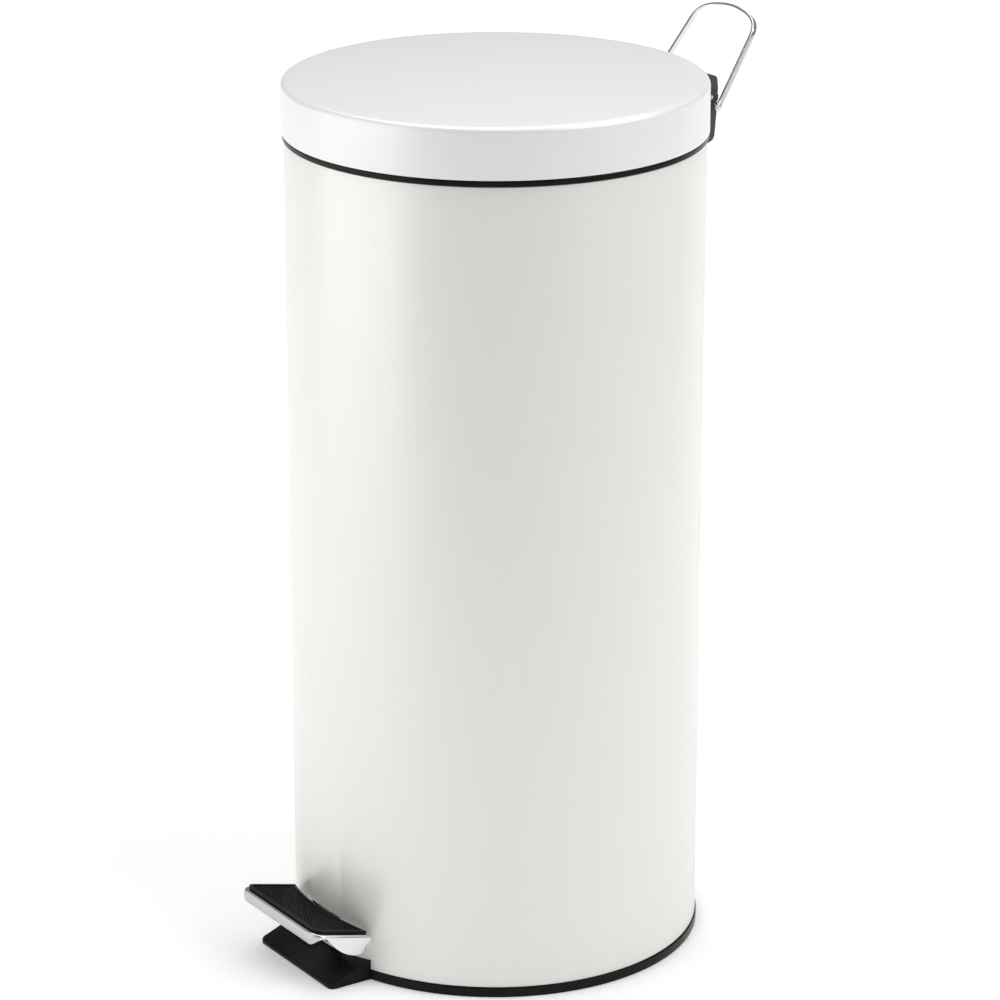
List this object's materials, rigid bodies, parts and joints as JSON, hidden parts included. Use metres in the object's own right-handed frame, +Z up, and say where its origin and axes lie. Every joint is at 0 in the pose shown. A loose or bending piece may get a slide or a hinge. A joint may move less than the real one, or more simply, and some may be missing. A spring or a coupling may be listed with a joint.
{
  "type": "pedal trash can",
  "caption": "Round steel trash can with a pedal-lifted hinged lid, a black base and rim, a lift-out bucket with a bail, and a fold-down carrying handle at the back.",
  "frame": {"origin": "centre of the round base's underside, on the floor, on the can's axis", "axes": "+Z up along the can's axis, -Y towards the pedal, +Y towards the hinge and handle, +X to the pedal user's right"},
  "size_m": [0.2934, 0.387, 0.6479],
  "materials": {
    "lacquered_steel": "pearl off-white lacquer over brushed steel",
    "black_plastic": "satin moulded",
    "hinge_plastic": "satin moulded, dark grey",
    "bucket_plastic": "smooth moulded, dark grey",
    "black_rubber": "matte with small raised grips",
    "chromed_steel": "polished",
    "plated_steel": "zinc plated"
  },
  "bodies": {
    "housing": {"body_shell": "lacquered_steel", "base": "black_plastic", "foot_pad_1": "black_rubber", "foot_pad_2": "black_rubber", "foot_pad_3": "black_rubber", "foot_pad_4": "black_rubber", "rim_ring": "black_plastic", "body_hinge_block": "hinge_plastic", "hinge_pin": "plated_steel", "hinge_backing_plate": "plated_steel", "hinge_block_screw_left": "plated_steel", "hinge_block_screw_right": "plated_steel", "lid_bumper_1": "black_rubber", "lid_bumper_2": "black_rubber", "lid_bumper_3": "black_rubber", "pedal_pivot_pin": "plated_steel", "pivot_clip_left": "plated_steel", "pivot_clip_right": "plated_steel"},
    "lid": {"lid_shell": "lacquered_steel", "lid_inner_ring": "black_plastic", "lid_hinge_block": "hinge_plastic", "lid_bracket": "plated_steel", "lid_screw_left": "plated_steel", "lid_screw_right": "plated_steel"},
    "rod": {"push_rod": "plated_steel"},
    "pedal": {"pedal_lever": "plated_steel", "pedal_head": "chromed_steel", "pedal_pad": "black_rubber", "pedal_rivet_left": "plated_steel", "pedal_rivet_right": "plated_steel"},
    "handle": {"carry_handle": "chromed_steel"},
    "bucket": {"inner_bucket": "bucket_plastic"},
    "bail": {"bucket_bail": "plated_steel", "bail_grip": "black_plastic"}
  },
  "joints": [
    {"name": "lid_hinge", "type": "hinge", "parent": "housing", "child": "lid", "pos_m": [0, 0.1585, 0.5925], "axis": [-1, 0, 0], "range_deg": [0, 65]},
    {"name": "rod_hook", "type": "hinge", "parent": "lid", "child": "rod", "pos_m": [0, 0.13489, 0.57746], "axis": [-1, 0, 0], "range_deg": [-65, 0]},
    {"name": "pedal_pivot", "type": "hinge", "parent": "housing", "child": "pedal", "pos_m": [0, -0.05, 0.025], "axis": [1, 0, 0], "range_deg": [0, 9.5]},
    {"name": "handle_pivot", "type": "hinge", "parent": "housing", "child": "handle", "pos_m": [0, 0.1592, 0.587], "axis": [-1, 0, 0], "range_deg": [0, 143]},
    {"name": "bucket_lift", "type": "slide", "parent": "housing", "child": "bucket", "axis": [0, 0, 1], "range_m": [0, 0.01]},
    {"name": "bail_pivot", "type": "hinge", "parent": "bucket", "child": "bail", "pos_m": [0, 0, 0.584], "axis": [-1, 0, 0], "range_deg": [0, 10]}
  ],
  "couplings": [
    {"joint": "rod_hook", "follows": "lid_hinge", "ratio": -1},
    {"joint": "pedal_pivot", "follows": "lid_hinge", "ratio": 0.1455}
  ]
}
